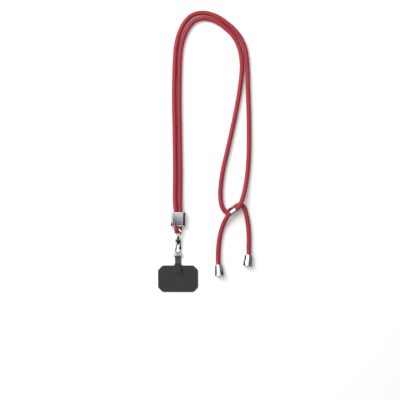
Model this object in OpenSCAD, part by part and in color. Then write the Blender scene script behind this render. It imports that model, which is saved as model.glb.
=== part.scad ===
// Lanyard: one long round cord doubled through a clamp block, a sliding band, two end caps,
// a swivel hook with a sprung lever, a D-ring and a flat fabric patch.
// Origin: centre of the patch's underside. +Y runs up to the neck loop, +Z off the table. Sizes in mm.

/* [Cord] */
// cord diameter
cord_d = 6; // [5:0.5:7]
// gap between the two strands where they are held side by side
strand_gap = 0.1; // [0.1:0.1:1]
// gap between a cord and the hole that holds it, on the radius
cord_gap = 0.05; // [0.02:0.01:0.1]

/* [Clamp block] */
// block width
block_w = 19.2; // [16:0.2:24]
// block length along the cords
block_l = 19.2; // [14:0.2:26]
// block thickness
block_t = 9.5; // [8.5:0.1:12]
// width of the bevels on the long edges
side_bevel_w = 2.4; // [0.8:0.1:3]
// drop of the bevels on the long edges
side_bevel_t = 1.8; // [0.5:0.1:3]
// bevel at the two ends
end_bevel = 1; // [0.3:0.1:1.5]
// diameter of the clamp screws in the back
screw_d = 3; // [2:0.5:4]
// length of the clamp screws
screw_l = 2; // [1.8:0.1:3]

/* [Sliding band] */
// band length along the cords
band_l = 7.7; // [5:0.1:12]
// band wall
band_wall = 0.5; // [0.4:0.1:1]

/* [End caps] */
// cap length
cap_l = 15; // [12:0.5:20]
// outer diameter at the mouth
cap_mouth_d = 9; // [8:0.1:11]
// outer diameter at the closed end
cap_end_d = 11.9; // [10:0.1:14]
// depth of the hole for the cord
cap_bore = 11; // [8:0.5:13]

/* [Swivel hook] */
// eye ring, middle of the wire
eye_d = 9.4; // [8.6:0.2:12]
// eye wire
eye_wire = 1.6; // [1.2:0.1:2]
// swivel stem
stem_d = 2; // [1.6:0.1:2.4]
// gap round the stem, on the radius
stem_gap = 0.08; // [0.03:0.01:0.1]
// hub diameter
hub_d = 5.2; // [4.8:0.1:6.4]
// hub length
hub_l = 3.6; // [3:0.1:4.4]
// bow, middle of the bar
bow_d = 8.8; // [7:0.2:11]
// bow bar
bow_bar = 2.2; // [1.8:0.1:2.6]
// spine rod
spine_d = 2; // [1.6:0.1:2.4]
// thickness over the two cheeks
cheek_t = 4.4; // [4:0.1:5.2]
// lever thickness
lever_t = 2; // [1.8:0.1:2.4]
// gap each side of the lever in its slot
lever_gap = 0.25; // [0.15:0.05:0.4]
// lever pin
pin_d = 1.2; // [1:0.1:1.6]
// gap round the pin in the lever, on the radius
pin_gap = 0.08; // [0.03:0.01:0.1]
// spring wire
spring_wire = 0.3; // [0.2:0.05:0.4]

/* [D-ring] */
// D-ring wire
ring_wire = 1.4; // [1:0.1:2]
// D-ring width over all
ring_w = 13.2; // [11:0.2:16]
// inside corner radius, to the middle of the wire
ring_corner = 1; // [0.8:0.1:1.6]

/* [Tab and patch] */
// webbing width
tab_w = 8.1; // [6:0.1:9]
// webbing thickness
tab_t = 0.7; // [0.5:0.1:1]
// stitching thread
thread_d = 0.4; // [0.3:0.05:0.6]
// patch width
patch_w = 54.7; // [40:0.5:65]
// patch length
patch_l = 36.3; // [28:0.5:45]
// thickness of each patch layer
layer_t = 0.5; // [0.3:0.1:0.8]
// corner cut
corner_cut = 6.3; // [3:0.1:10]

/* [Hidden] */
cord_r = cord_d / 2;
strand_pitch = cord_d + strand_gap;
half_pitch = strand_pitch / 2;
bore_r = cord_r + cord_gap;
// sides of a round shape, and of a thin one
fine = 48;
wire_fine = 24;

// the block, centred on X = 0, its foot towards the hook
block_foot = 72.1;
block_y = block_foot + block_l / 2;
block_top = block_foot + block_l;
block_z = block_t / 2;
// how far the screws sit below the block's back
screw_sunk = 0.1;

// the band: heading of the cords through it, lean from upright, and middle, resting on the table
band_head = 35;
band_lean = 35;
band_u = [cos(band_head), sin(band_head), 0];
band_v = [sin(band_head) * sin(band_lean), -cos(band_head) * sin(band_lean), cos(band_lean)];
band_mid = [74.3, 93.7, bore_r + band_wall + half_pitch * cos(band_lean)];
// places along a strand, from the band's middle, that keep it straight while the band slides
band_hold = [7.5, 5, 0, -5, -7.5];

// the caps: mouth centre and turn about Z, lying on their sides on the table
cap_tilt = asin((cap_end_d - cap_mouth_d) / 2 / cap_l);
left_mouth = [55.3, 19.2, cap_mouth_d / 2];
right_mouth = [96.4, 32.5, cap_mouth_d / 2];
function lying(turn) = [cos(turn) * cos(cap_tilt), sin(turn) * cos(cap_tilt), sin(cap_tilt)];
left_u = lying(-85);
right_u = lying(-96);
// a cap's bevel at the mouth, and the width and rise of its domed end
mouth_bevel = 0.3;
dome_in = 2.4;
dome_rise = 0.4;

// the eye, the hook and the D-ring share one long axis. The fold keeps the eye's top where it is
axis_z = 5.4;
eye_top = 67.8;
eye_y = eye_top - eye_d / 2;
eye_foot = eye_top - eye_d;
eye_tilt = 30;
hook_roll = 45;
turn_gap = 0.15;
collar_l = 1.05;
hub_top = eye_foot - collar_l - turn_gap;
hub_wall = 1.8;

// inside the hook: the eye's peened head on its washer
collar_r = stem_d / 2 + 1;
head_r = stem_d / 2 + 0.5;
head_t = 0.7;
head_gap = 0.35;
head_room = 3;
washer_r = head_r + 0.2;
washer_t = 0.4;
head_y = hub_top - hub_wall - turn_gap - washer_t;

// the hook's own places: X to the gate side and Y down from the hub's top
pin_at = [1.3, -6.6];
bow_at = -18.8;
bow_r = bow_d / 2;
// sweep of the bow, a little past half a turn at its nose
bow_sweep = 184;
spine_top = [-2.2, -7.6];
cheek_outline = [[-2.4, -2.8], [2.4, -2.8], [3.6, -4.8], [3.5, -7.6], [2, -9], [-0.6, -9.2],
  [-2.9, -10.8], [-4, -10.4], [-3.5, -7], [-3.1, -4.6]];
// the bar that the cheeks are cut from
cheek_w = 8.6;
cheek_l = 12;
cheek_bevel_w = 1.2;
cheek_bevel_t = 0.9;
// the slot for the lever, open to the gate side, and the one for its thumb tab, open to the other
slot_t = lever_t + 2 * lever_gap;
slot_top = -4;
slot_foot = -13.2;
slot_in = -1.5;
thumb_slot_top = -2.7;
thumb_slot_foot = -7.2;
thumb_slot_in = -1.3;

// the lever: its hub, the gate down to its tip over the bow's nose, and the thumb tab
lever_hub_r = 2;
gate_half = 1;
gate_foot = -17.3;
lever_outline = [[-5.9, -5], [-3.4, -6.5], [-0.8, -6.8], [0.2, -8.2], [1.6, -9.2], [3.2, -13.2],
  [bow_r - gate_half, gate_foot], [bow_r + gate_half, gate_foot], [5.3, -12.8], [3.5, -6.2],
  [1.8, -4.9], [-0.2, -4.9], [-2.4, -5.3], [-5.2, -4]];
// the pin stands proud of the cheeks by this in all
pin_proud = 0.3;
// the spring: its radius to the middle of the wire, turns, steps in a turn, and rise at each step
spring_r = 1.15;
spring_turns = 2.25;
spring_steps = 16;
spring_rise = 0.018;
pocket_depth = 1.15;
pocket_gap = 0.2;

// the D-ring: straight bar, two corners and a round top, hung in the bow with a little play
ring_play = 0.76;
ring_flat = (ring_w - ring_wire) / 2 - ring_corner;
ring_h = ring_flat + 2 * ring_corner;
loop_r = ring_wire / 2 + 0.2;
bar_z = layer_t + tab_t + loop_r;
ring_tilt = asin((axis_z - bar_z) / ring_h);
bow_inside = hub_top + bow_at - bow_r + bow_bar / 2;
bar_y = bow_inside + ring_play + ring_wire / 2 - ring_h * cos(ring_tilt);

// the tab: loop round the D-ring's bar, then two plies one on the other, on the patch's back layer
ply_z = layer_t;
lay_angle = 45;
tab_end = patch_l / 2 - 9.15;
stitch_count = 5;
stitch_l = 0.7;
stitch_y = bar_y - 3.1;
// the patch's neck, and its cover over the tab
neck_w = tab_w + 1;
neck_y = patch_l / 2 + 2.85;
neck_fillet = 2;
cover_z = ply_z + 2 * tab_t + layer_t;
cover_bevel = 0.8;

// A run's points hold X, Y and its lift above lying on the table.
// the run on the outside of the neck loop, from the block to the band
outer_run = [[-3.7, 101, 1.3], [-4.1, 110, 0.3], [-4, 124, 0], [-3.8, 142, 0],
  [-3.9, 162, 0], [-4.3, 185, 0], [-4.6, 208, 0], [-5.2, 238, 0], [-5.2, 260, 0],
  [-4.8, 282, 0], [-4, 302, 0], [-2.2, 320, 0], [2.2, 337, 0], [9.5, 351, 0],
  [19, 360.2, 0], [31, 363.6, 0], [43, 362.4, 0], [54.5, 358, 0],
  [65, 351, 0], [75, 342.6, 0], [83.5, 332.5, 0], [90, 320, 0], [93.4, 305, 0],
  [94.9, 286, 0], [95.6, 262, 0], [96.6, 232, 0], [97.1, 200, 0], [96.7, 170, 0],
  [95.2, 146, 0], [92.6, 128, 0.8], [89.2, 113, 3.4], [85.2, 102.2, 6]];
// and from the band to the left cap
outer_tail = [[67, 84.4, 4.4], [62.6, 76, 1.4], [59.3, 66.5, 0], [56.6, 54, 0],
  [55.2, 40, 0], [54.9, 29, 0.4]];
// the run on the inside of the neck loop, from the block to the band
inner_run = [[2.6, 101, 1.3], [2.7, 110, 0.3], [2.8, 124, 0], [3, 142, 0],
  [2.9, 162, 0], [2.5, 185, 0], [2.2, 208, 0], [1.7, 238, 0], [1.7, 260, 0],
  [2, 282, 0], [2.8, 302, 0], [4.5, 318, 0], [8.6, 332, 0], [15, 344.5, 0],
  [23.5, 353, 0], [34, 356, 0], [44.5, 354.6, 0], [55, 350, 0],
  [65, 342.8, 0], [73.5, 334.6, 0], [80, 325, 0], [84.6, 313, 0], [87.1, 298, 0],
  [87, 281, 0], [84.8, 262, 0], [80, 233, 0], [73.6, 202, 0], [66.6, 171, 0],
  [61.2, 147, 0], [58.6, 128, 0], [58.1, 111, 0], [60, 100, 0], [63.8, 93, 0.2]];
// and from the band to the right cap
inner_tail = [[84.8, 101.4, 0], [90, 98.4, 0], [93, 89, 0], [95.4, 77, 0],
  [96.7, 63, 0], [97, 50, 0], [96.7, 42, 0.4]];
// The fold's points hold X, Y, its rise above the hook's axis, and its share of the cord's radius,
// because it is drawn thin where it turns through the eye.
fold_run = [[-3.1, 70.6, 0.6, 0.9], [-3, 67.6, 2.2, 0.765], [-2.6, 65.8, 2, 0.765],
  [-1.5, 64.6, 1.2, 0.765], [0, 64.2, 0, 0.765], [1.5, 64.6, -1.2, 0.765],
  [2.6, 65.8, -2, 0.765], [3, 67.6, -2.2, 0.765], [3.1, 70.6, -1.5, 0.9]];
// heights above the block's foot that keep the fold straight in its hole, and its share there
fold_hold = [[block_l, 1], [9.9, 1], [3.9, 1], [1.1, 0.965]];

// the name of each piece

red = [0.66, 0.22, 0.27];
chrome = [0.8, 0.81, 0.83];
steel = [0.62, 0.63, 0.65];
black = [0.14, 0.14, 0.15];

// a route point's place, and the same with the cord's radius
function at(p) = [p[0], p[1], p[2]];
function spot(v) = [v[0], v[1], v[2], cord_r];
function lifted(run) = [for (p = run) [p[0], p[1], cord_r + p[2], cord_r]];
function unit(v) = v / norm(v);

// slope at point i: the two neighbouring legs, each weighted by the other's length
function slope(p, i) = i == 0 ? (p[1] - p[0]) / norm(at(p[1] - p[0]))
  : i == len(p) - 1 ? (p[i] - p[i - 1]) / norm(at(p[i] - p[i - 1]))
  : let (back = p[i] - p[i - 1], on = p[i + 1] - p[i], a = norm(at(back)), b = norm(at(on)))
    (back / a * b + on / b * a) / (a + b);

// the point a share t of the way along leg i, on a smooth curve through the route
function between(p, i, t) = let (l = norm(at(p[i + 1] - p[i])))
  (2 * t ^ 3 - 3 * t ^ 2 + 1) * p[i] + (t ^ 3 - 2 * t ^ 2 + t) * l * slope(p, i)
  + (3 * t ^ 2 - 2 * t ^ 3) * p[i + 1] + (t ^ 3 - t ^ 2) * l * slope(p, i + 1);
function smooth(p, steps) = concat(
  [for (i = [0 : len(p) - 2], k = [0 : steps - 1]) between(p, i, k / steps)], [p[len(p) - 1]]);

// one closed solid along a route: a ring of corners at each point, side being the ring's first direction
module tube(p, sides, side) {
  last = len(p) - 1;
  rings = [for (i = [0 : last])
    let (t = unit(at(p[min(i + 1, last)] - p[max(i - 1, 0)])), a = unit(cross(t, side)), b = cross(t, a))
    for (k = [0 : sides - 1]) at(p[i]) + p[i][3] * (cos(360 * k / sides) * a + sin(360 * k / sides) * b)];
  start = [[for (k = [0 : sides - 1]) k]];
  end = [[for (k = [sides - 1 : -1 : 0]) last * sides + k]];
  wall = [for (i = [0 : last - 1], k = [0 : sides - 1], h = [0, 1])
    let (a = i * sides + k, b = i * sides + (k + 1) % sides)
    h == 0 ? [a, a + sides, b + sides] : [a, b + sides, b]];
  polyhedron(points = rings, faces = concat(start, end, wall));
}

// Z is turned to point along v
module toward(v) rotate([0, acos(v[2] / norm(v)), atan2(v[1], v[0])]) children();

// two round ends a pitch apart and the straight part between them, flat
module stadium(r) {
  for (s = [-1, 1]) translate([s * half_pitch, 0]) circle(r = r, $fn = fine);
  square([strand_pitch, 2 * r], center = true);
}

// a rectangle a by b with its four corners cut by c and d, flat and centred
module bevelled(a, b, c, d) polygon([[-a / 2 + c, -b / 2], [a / 2 - c, -b / 2], [a / 2, -b / 2 + d],
  [a / 2, b / 2 - d], [a / 2 - c, b / 2], [-a / 2 + c, b / 2], [-a / 2, b / 2 - d], [-a / 2, -b / 2 + d]]);

// one run of cord: out of the block's top on side s, round the neck, through the band and into its cap
module cord_run(s, run, tail, mouth, u) {
  out = [for (y = [block_top, block_top + 2.7]) [s * half_pitch, y, block_z, cord_r]];
  held = [for (h = band_hold) spot(band_mid - s * half_pitch * band_v - s * h * band_u)];
  cap = [for (h = [-4, 0, cap_bore]) spot(mouth + h * u)];
  tube(smooth(concat(out, lifted(run), held, lifted(tail), cap), 2), 10, [0, 0, 1]);
}

module cord_outer() color(red) cord_run(-1, outer_run, outer_tail, left_mouth, left_u);

module cord_inner() color(red) cord_run(1, inner_run, inner_tail, right_mouth, right_u);

module cord_fold() color(red) {
  left = [for (h = fold_hold) [-half_pitch, block_foot + h[0], block_z, h[1] * cord_r]];
  right = [for (k = [len(fold_hold) - 1 : -1 : 0])
    [half_pitch, block_foot + fold_hold[k][0], block_z, fold_hold[k][1] * cord_r]];
  free = [for (p = fold_run) [p[0], p[1], axis_z + p[2], p[3] * cord_r]];
  tube(smooth(concat(left, free, right), 3), 12, [cos(eye_tilt), 0, sin(eye_tilt)]);
}

module clamp_block() color(steel) difference() {
  intersection() {
    translate([0, block_top, block_z]) rotate([90, 0, 0]) linear_extrude(block_l)
      bevelled(block_w, block_t, side_bevel_w, side_bevel_t);
    translate([-block_w / 2, block_y, block_z]) rotate([90, 0, 90]) linear_extrude(block_w)
      bevelled(block_l, block_t, end_bevel, end_bevel);
  }
  translate([0, block_top + 1, block_z]) rotate([90, 0, 0]) linear_extrude(block_l + 2) stadium(bore_r);
  for (s = [-1, 1]) translate([s * half_pitch, block_y, -1]) cylinder(d = screw_d, h = block_z, $fn = fine);
}

module clamp_screws() color(steel)
  for (s = [-1, 1]) translate([s * half_pitch, block_y, screw_sunk]) difference() {
    cylinder(d = screw_d, h = screw_l, $fn = fine);
    translate([0, 0, -1]) cylinder(d = screw_d / 2, h = 1 + screw_l / 2, $fn = 6);
  }

// the band's own directions: X across the two holes, Z along the cords
module band_frame() translate(band_mid) rotate([0, 0, band_head]) rotate([0, 90, 0])
  rotate([0, 0, 180 + band_lean]) children();

module sliding_band() color(chrome) band_frame() linear_extrude(band_l, center = true) difference() {
  stadium(bore_r + band_wall);
  stadium(bore_r);
}

// mouth at the origin, closed end up Z
module end_cap() color(chrome) rotate_extrude($fn = fine) difference() {
  polygon([[0, 0], [cap_mouth_d / 2 - mouth_bevel, 0], [cap_mouth_d / 2, mouth_bevel],
    [cap_end_d / 2, cap_l - 1], [cap_end_d / 2 - 0.9, cap_l - 0.2],
    [cap_end_d / 2 - dome_in, cap_l + dome_rise / 2], [0, cap_l + dome_rise]]);
  translate([0, -1]) square([bore_r, 1 + cap_bore]);
}
module end_cap_left() translate(left_mouth) toward(left_u) end_cap();
module end_cap_right() translate(right_mouth) toward(right_u) end_cap();

// a round bar on the long axis, its top at y and its foot l below
module on_axis(y, l, r) translate([0, y, axis_z]) rotate([90, 0, 0]) cylinder(r = r, h = l, $fn = fine);

module swivel_eye() color(chrome) {
  translate([0, eye_y, axis_z]) rotate([0, -eye_tilt, 0]) rotate_extrude($fn = fine)
    translate([eye_d / 2, 0]) circle(d = eye_wire, $fn = wire_fine);
  on_axis(eye_foot, collar_l, collar_r);
  on_axis(eye_foot - 0.2, eye_foot - 0.2 - head_y, stem_d / 2);
  on_axis(head_y, head_t, head_r);
}

module swivel_washer() color(steel) difference() {
  on_axis(head_y + washer_t, washer_t, washer_r);
  on_axis(hub_top, head_room + hub_wall, stem_d / 2);
}

// the hook's own frame: X to the gate side, Y along the axis from the hub's top, Z through the cheeks
module hook_frame() translate([0, hub_top, axis_z]) rotate([0, hook_roll, 0]) children();

// a round bar from p to q in the hook's plane
module rod(p, q, d) translate([p[0], p[1], 0]) toward([q[0] - p[0], q[1] - p[1], 0])
  cylinder(d = d, h = norm(q - p), $fn = wire_fine);

// a slot of the lever's width through the hook, from x and y, w by h
module slot(x, y, w, h) hook_frame() translate([x, y, -slot_t / 2]) cube([w, h, slot_t]);

module hook_body() color(chrome) {
  difference() {
    union() {
      on_axis(hub_top, hub_l, hub_d / 2);
      hook_frame() intersection() {
        linear_extrude(cheek_t, center = true) polygon(cheek_outline);
        rotate([90, 0, 0]) linear_extrude(cheek_l)
          bevelled(cheek_w, cheek_t, cheek_bevel_w, cheek_bevel_t);
      }
    }
    slot(slot_in, slot_foot, cheek_w, slot_top - slot_foot);
    slot(thumb_slot_in - cheek_w, thumb_slot_foot, cheek_w, thumb_slot_top - thumb_slot_foot);
    on_axis(hub_top + 1, 1 + hub_wall + head_room, stem_d / 2 + stem_gap);
    on_axis(hub_top - hub_wall, head_room, head_r + head_gap);
    hook_frame() translate(pin_at) cylinder(d = pin_d, h = 2 * cheek_t, center = true, $fn = fine);
  }
  hook_frame() {
    translate([0, bow_at, 0]) rotate([0, 0, 180]) rotate_extrude(angle = bow_sweep, $fn = fine)
      translate([bow_r, 0]) circle(d = bow_bar, $fn = wire_fine);
    rod([-bow_r, bow_at - 0.3], spine_top, spine_d);
  }
}

module lever_pin() color(steel) hook_frame() translate(pin_at)
  cylinder(d = pin_d, h = cheek_t + pin_proud, center = true, $fn = fine);

module lever_spring() color(steel) hook_frame() translate(pin_at)
  tube([for (k = [0 : spring_turns * spring_steps]) let (a = 360 * k / spring_steps)
    [spring_r * cos(a), spring_r * sin(a), lever_t / 2 - pocket_depth + spring_wire + k * spring_rise,
      spring_wire / 2]], 6, [0, 0, 1]);

module lever() color(steel) hook_frame() difference() {
  linear_extrude(lever_t, center = true) {
    translate(pin_at) circle(r = lever_hub_r, $fn = fine);
    polygon(lever_outline);
  }
  translate(pin_at) cylinder(r = pin_d / 2 + pin_gap, h = 2 * lever_t, center = true, $fn = fine);
  translate([pin_at[0], pin_at[1], lever_t / 2 - pocket_depth])
    cylinder(r = spring_r + spring_wire / 2 + pocket_gap, h = 2 * pocket_depth, $fn = fine);
}

// part of a wire ring about (x, y), from angle a on through sweep w
module bend(x, y, r, a, w, d) translate([x, y, 0]) rotate([0, 0, a])
  rotate_extrude(angle = w, $fn = fine) translate([r, 0]) circle(d = d, $fn = wire_fine);

module d_ring() color(chrome) translate([0, bar_y, bar_z]) rotate([ring_tilt, 0, 0]) {
  translate([-ring_flat, 0, 0]) rotate([0, 90, 0]) cylinder(d = ring_wire, h = 2 * ring_flat, $fn = wire_fine);
  bend(ring_flat, ring_corner, ring_corner, -90, 90, ring_wire);
  bend(-ring_flat, ring_corner, ring_corner, 180, 90, ring_wire);
  bend(0, ring_corner, ring_flat + ring_corner, 0, 180, ring_wire);
}

// the row of stitches across the two plies below the D-ring
module stitches() for (k = [0 : stitch_count - 1])
  translate([(k - (stitch_count - 1) / 2) * tab_w / (stitch_count + 1), stitch_y, 0]) {
    for (s = [-1, 1]) translate([s * stitch_l / 2, 0, ply_z - thread_d / 2])
      cylinder(d = thread_d, h = 2 * tab_t + thread_d, $fn = 16);
    for (z = [ply_z - thread_d / 2, ply_z + 2 * tab_t + thread_d / 2]) translate([0, 0, z])
      rotate([0, 90, 0]) cylinder(d = thread_d, h = stitch_l + thread_d, center = true, $fn = 16);
  }

// the webbing seen from the side: Y across, Z up
module webbing_side() {
  c = cos(lay_angle);
  s = sin(lay_angle);
  out = loop_r + tab_t;
  zo = bar_z + out * c;
  zi = bar_z + loop_r * c;
  top = ply_z + 2 * tab_t;
  difference() {
    union() {
      translate([bar_y, bar_z]) circle(r = out, $fn = fine);
      polygon([[bar_y - out * s, zo], [bar_y - out * s - (zo - top) / tan(lay_angle), top], [tab_end, top],
        [tab_end, ply_z], [bar_y, ply_z], [bar_y, bar_z]]);
    }
    translate([bar_y, bar_z]) circle(r = loop_r, $fn = fine);
    polygon([[bar_y - loop_r * s, zi],
      [bar_y - loop_r * s - (zi - ply_z - tab_t) / tan(lay_angle), ply_z + tab_t],
      [bar_y, ply_z + tab_t], [bar_y, bar_z]]);
  }
}

module tab_webbing() color(black) difference() {
  translate([-tab_w / 2, 0, 0]) rotate([90, 0, 90]) linear_extrude(tab_w) webbing_side();
  stitches();
}

module tab_stitching() color(black) stitches();

// the patch's outline with its neck
module outline() {
  bevelled(patch_w, patch_l, corner_cut, corner_cut);
  translate([-neck_w / 2, 0]) square([neck_w, neck_y]);
  difference() {
    translate([-neck_w / 2 - neck_fillet, patch_l / 2 - 1]) square([neck_w + 2 * neck_fillet, 1 + neck_fillet]);
    for (s = [-1, 1]) translate([s * (neck_w / 2 + neck_fillet), patch_l / 2 + neck_fillet])
      circle(r = neck_fillet, $fn = fine);
  }
}

module patch_back() color(black) linear_extrude(layer_t) outline();

module patch_front() color(black) difference() {
  union() {
    translate([0, 0, layer_t]) linear_extrude(layer_t) outline();
    translate([0, neck_y, layer_t]) rotate([90, 0, 0]) linear_extrude(neck_y - tab_end + 1)
      polygon([[-neck_w / 2, 0], [neck_w / 2, 0], [neck_w / 2, cover_bevel],
        [neck_w / 2 - cover_bevel, cover_z - layer_t], [cover_bevel - neck_w / 2, cover_z - layer_t],
        [-neck_w / 2, cover_bevel]]);
  }
  translate([-tab_w / 2, tab_end, layer_t]) cube([tab_w, 2 * neck_y, 2 * tab_t]);
}

cord_outer();
cord_inner();
cord_fold();
clamp_block();
clamp_screws();
sliding_band();
end_cap_left();
end_cap_right();
swivel_eye();
swivel_washer();
hook_body();
lever_pin();
lever_spring();
lever();
d_ring();
tab_webbing();
tab_stitching();
patch_back();
patch_front();
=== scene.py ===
import math

import bmesh
import bpy
import numpy as np
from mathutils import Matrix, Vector


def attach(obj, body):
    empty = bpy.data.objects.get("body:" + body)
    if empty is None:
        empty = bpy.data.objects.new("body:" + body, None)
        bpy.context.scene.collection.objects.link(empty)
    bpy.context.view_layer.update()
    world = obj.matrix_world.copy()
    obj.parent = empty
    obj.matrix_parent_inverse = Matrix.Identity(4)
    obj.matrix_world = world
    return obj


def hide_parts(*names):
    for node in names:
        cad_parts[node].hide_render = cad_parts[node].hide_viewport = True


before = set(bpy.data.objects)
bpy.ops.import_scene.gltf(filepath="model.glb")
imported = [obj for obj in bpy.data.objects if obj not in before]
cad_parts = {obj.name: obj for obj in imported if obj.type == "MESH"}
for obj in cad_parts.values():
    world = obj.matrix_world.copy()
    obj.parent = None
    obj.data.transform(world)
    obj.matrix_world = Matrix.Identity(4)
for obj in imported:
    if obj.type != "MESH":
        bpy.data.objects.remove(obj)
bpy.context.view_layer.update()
MM = 0.001

# --- The table and the studio ------------------------------------------------------------
# The lanyard lies on a matt white table, under one wide soft lamp to the upper left. Plate shows its
# shape by what it mirrors, so dark cards stand at the right, overhead, round the hook, under the caps
# and by the band.
scene = bpy.context.scene
scene.view_settings.view_transform = "Standard"


def node(tree, kind, **values):
    """Adds a shader node. A value named after an input is set or linked, and any other is a setting."""
    made = tree.nodes.new(kind)
    for name, value in values.items():
        socket = made.inputs.get(name.replace("_", " "))
        if socket is None:
            setattr(made, name, value)
        elif isinstance(value, bpy.types.NodeSocket):
            tree.links.new(value, socket)
        else:
            socket.default_value = value
    return made


def calc(tree, operation, *terms):
    """One step of arithmetic on numbers or sockets."""
    made = tree.nodes.new("ShaderNodeMath")
    made.operation = operation
    for socket, term in zip(made.inputs, terms):
        if isinstance(term, bpy.types.NodeSocket):
            tree.links.new(term, socket)
        else:
            socket.default_value = term
    return made.outputs[0]


def new_material(name):
    """An empty material: itself, its node tree and its output node."""
    made = bpy.data.materials.new(name)
    made.use_nodes = True
    made.node_tree.nodes.clear()
    return made, made.node_tree, made.node_tree.nodes.new("ShaderNodeOutputMaterial")


def seen_directly(tree):
    """1 for what the camera, a mirror or glass looks at, and 0 for light that only spreads."""
    seen = node(tree, "ShaderNodeLightPath").outputs
    mirrored = calc(tree, "MAXIMUM", seen["Is Glossy Ray"], seen["Is Transmission Ray"])
    return calc(tree, "MAXIMUM", seen["Is Camera Ray"], mirrored)


def matt(tree, shade):
    """Matt paper of one shade, from 0 for black to 1 for white."""
    return node(tree, "ShaderNodeBsdfDiffuse", Color=(shade, shade, shade, 1)).outputs[0]


def stand_card(name, size, place, turn, finish, in_view=False):
    """A flat card, turned by degrees about X, Y and Z. Out of view, only reflections show it."""
    mesh = bpy.data.meshes.new(name)
    x, y = size[0] / 2, size[1] / 2
    mesh.from_pydata([(-x, -y, 0), (x, -y, 0), (x, y, 0), (-x, y, 0)], [], [(0, 1, 2, 3)])
    mesh.materials.append(finish)
    card = bpy.data.objects.new(name, mesh)
    card.location = place
    card.rotation_euler = [math.radians(t) for t in turn]
    scene.collection.objects.link(card)
    card.visible_camera = in_view
    card.visible_shadow = in_view
    card.visible_diffuse = in_view


# the table's own faint light takes its far parts to white, and the lanyard doesn't see it
TABLE_SHADE, TABLE_LIFT = 0.95, 0.06
table_top, tree, out = new_material("table")
lift = node(tree, "ShaderNodeEmission", Color=(1, 1, 1, 1),
            Strength=calc(tree, "MULTIPLY", seen_directly(tree), TABLE_LIFT))
both = node(tree, "ShaderNodeAddShader")
tree.links.new(matt(tree, TABLE_SHADE), both.inputs[0])
tree.links.new(lift.outputs[0], both.inputs[1])
tree.links.new(both.outputs[0], out.inputs["Surface"])
stand_card("table", (8, 8), (0, 0, 0), (0, 0, 0), table_top, in_view=True)

black_card, tree, out = new_material("black_card")
tree.links.new(matt(tree, 0.012), out.inputs["Surface"])
grey_card, tree, out = new_material("grey_card")
tree.links.new(matt(tree, 0.4), out.inputs["Surface"])
stand_card("card_right", (1.0, 1.6), (0.62, 0.1, 0.49), (0, -78, 0), black_card)
stand_card("card_over", (3.2, 0.7), (0.03, -0.31, 1.75), (0, 0, 0), black_card)
stand_card("card_hook_top", (0.07, 0.029), (0.0, 0.0505, 0.03), (0, 0, 0), black_card)
stand_card("card_hook_right", (0.03, 0.029), (0.035, 0.0505, 0.015), (0, 90, 0), black_card)
stand_card("card_hook_left", (0.03, 0.036), (-0.035, 0.033, 0.015), (0, 90, 0), black_card)
stand_card("card_hook_far_left", (0.03, 0.016), (-0.035, 0.0665, 0.015), (0, 90, 0), black_card)
stand_card("card_caps", (0.11, 0.055), (0.085, 0.0175, 0.0006), (0, 0, 0), black_card)
stand_card("card_band_below", (0.03, 0.02), (0.092, 0.075, 0.0006), (0, 0, 35), black_card)
stand_card("card_band_above", (0.03, 0.03), (0.056, 0.118, 0.0006), (0, 0, 35), grey_card)

# the sky lights the lanyard and the table at half strength, and is white to the camera and in mirrors
SKY_LIGHT = 0.5
world = bpy.data.worlds.new("studio")
scene.world = world
world.use_nodes = True
tree = world.node_tree
tree.nodes.clear()
sky = node(tree, "ShaderNodeBackground", Color=(1, 1, 1, 1),
           Strength=calc(tree, "MULTIPLY_ADD", seen_directly(tree), 1 - SKY_LIGHT, SKY_LIGHT))
tree.links.new(sky.outputs[0], node(tree, "ShaderNodeOutputWorld").inputs["Surface"])


def aim(thing, place, target):
    """Stands a lamp at place and turns it to face target."""
    thing.location = place
    thing.rotation_euler = (Vector(target) - Vector(place)).to_track_quat("-Z", "Y").to_euler()


softbox = bpy.data.lights.new("softbox", "AREA")
softbox.size = 1.4
softbox.energy = 34
lamp = bpy.data.objects.new("softbox", softbox)
scene.collection.objects.link(lamp)
aim(lamp, (-0.85, 0.95, 1.25), (0.03, 0.12, 0))

# The camera hangs straight over the table, far back on a long lens.
lens = bpy.data.cameras.new("overhead")
lens.lens = 100
lens.sensor_width = 36
lens.clip_end = 20
camera = bpy.data.objects.new("overhead", lens)
scene.collection.objects.link(camera)
FIELD = 0.548
camera.location = (0.0301, 0.1078, FIELD * lens.lens / lens.sensor_width)
scene.camera = camera

# --- The cord ----------------------------------------------------------------------------
# One round polyester cord, 6 mm thick, braided from twenty strands that pass two over and two under.
# It is doubled: the block grips its fold, and its two runs go round the neck and on to the caps.
CORD_R, FULL_R = 3 * MM, 3.12 * MM
HALF_PITCH = 3.05 * MM
STRANDS = 10
STRAND_W = 2 * math.pi * CORD_R / STRANDS
STRAND_RISE = 0.17 * MM
BRAID_MEAN = 0.72


def smooth_route(points, spacing):
    """A cubic curve through the points, cut at equal steps. The slope at a point is the mean of the
    legs on its two sides, each weighted by the other's length."""
    step = np.diff(points, axis=0)
    length = np.linalg.norm(step[:, :3], axis=1)[:, None]
    step = step / length
    inner = (step[:-1] * length[1:] + step[1:] * length[:-1]) / (length[1:] + length[:-1])
    slope = np.vstack([step[:1], inner, step[-1:]])
    t = np.linspace(0, 1, 24, endpoint=False)[None, :, None]
    start, end = points[:-1, None], points[1:, None]
    leave, arrive = (length * slope[:-1])[:, None], (length * slope[1:])[:, None]
    curve = ((2 * t**3 - 3 * t**2 + 1) * start + (t**3 - 2 * t**2 + t) * leave
             + (3 * t**2 - 2 * t**3) * end + (t**3 - t**2) * arrive)
    return evenly(np.vstack([curve.reshape(-1, points.shape[1]), points[-1:]]), spacing)


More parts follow.
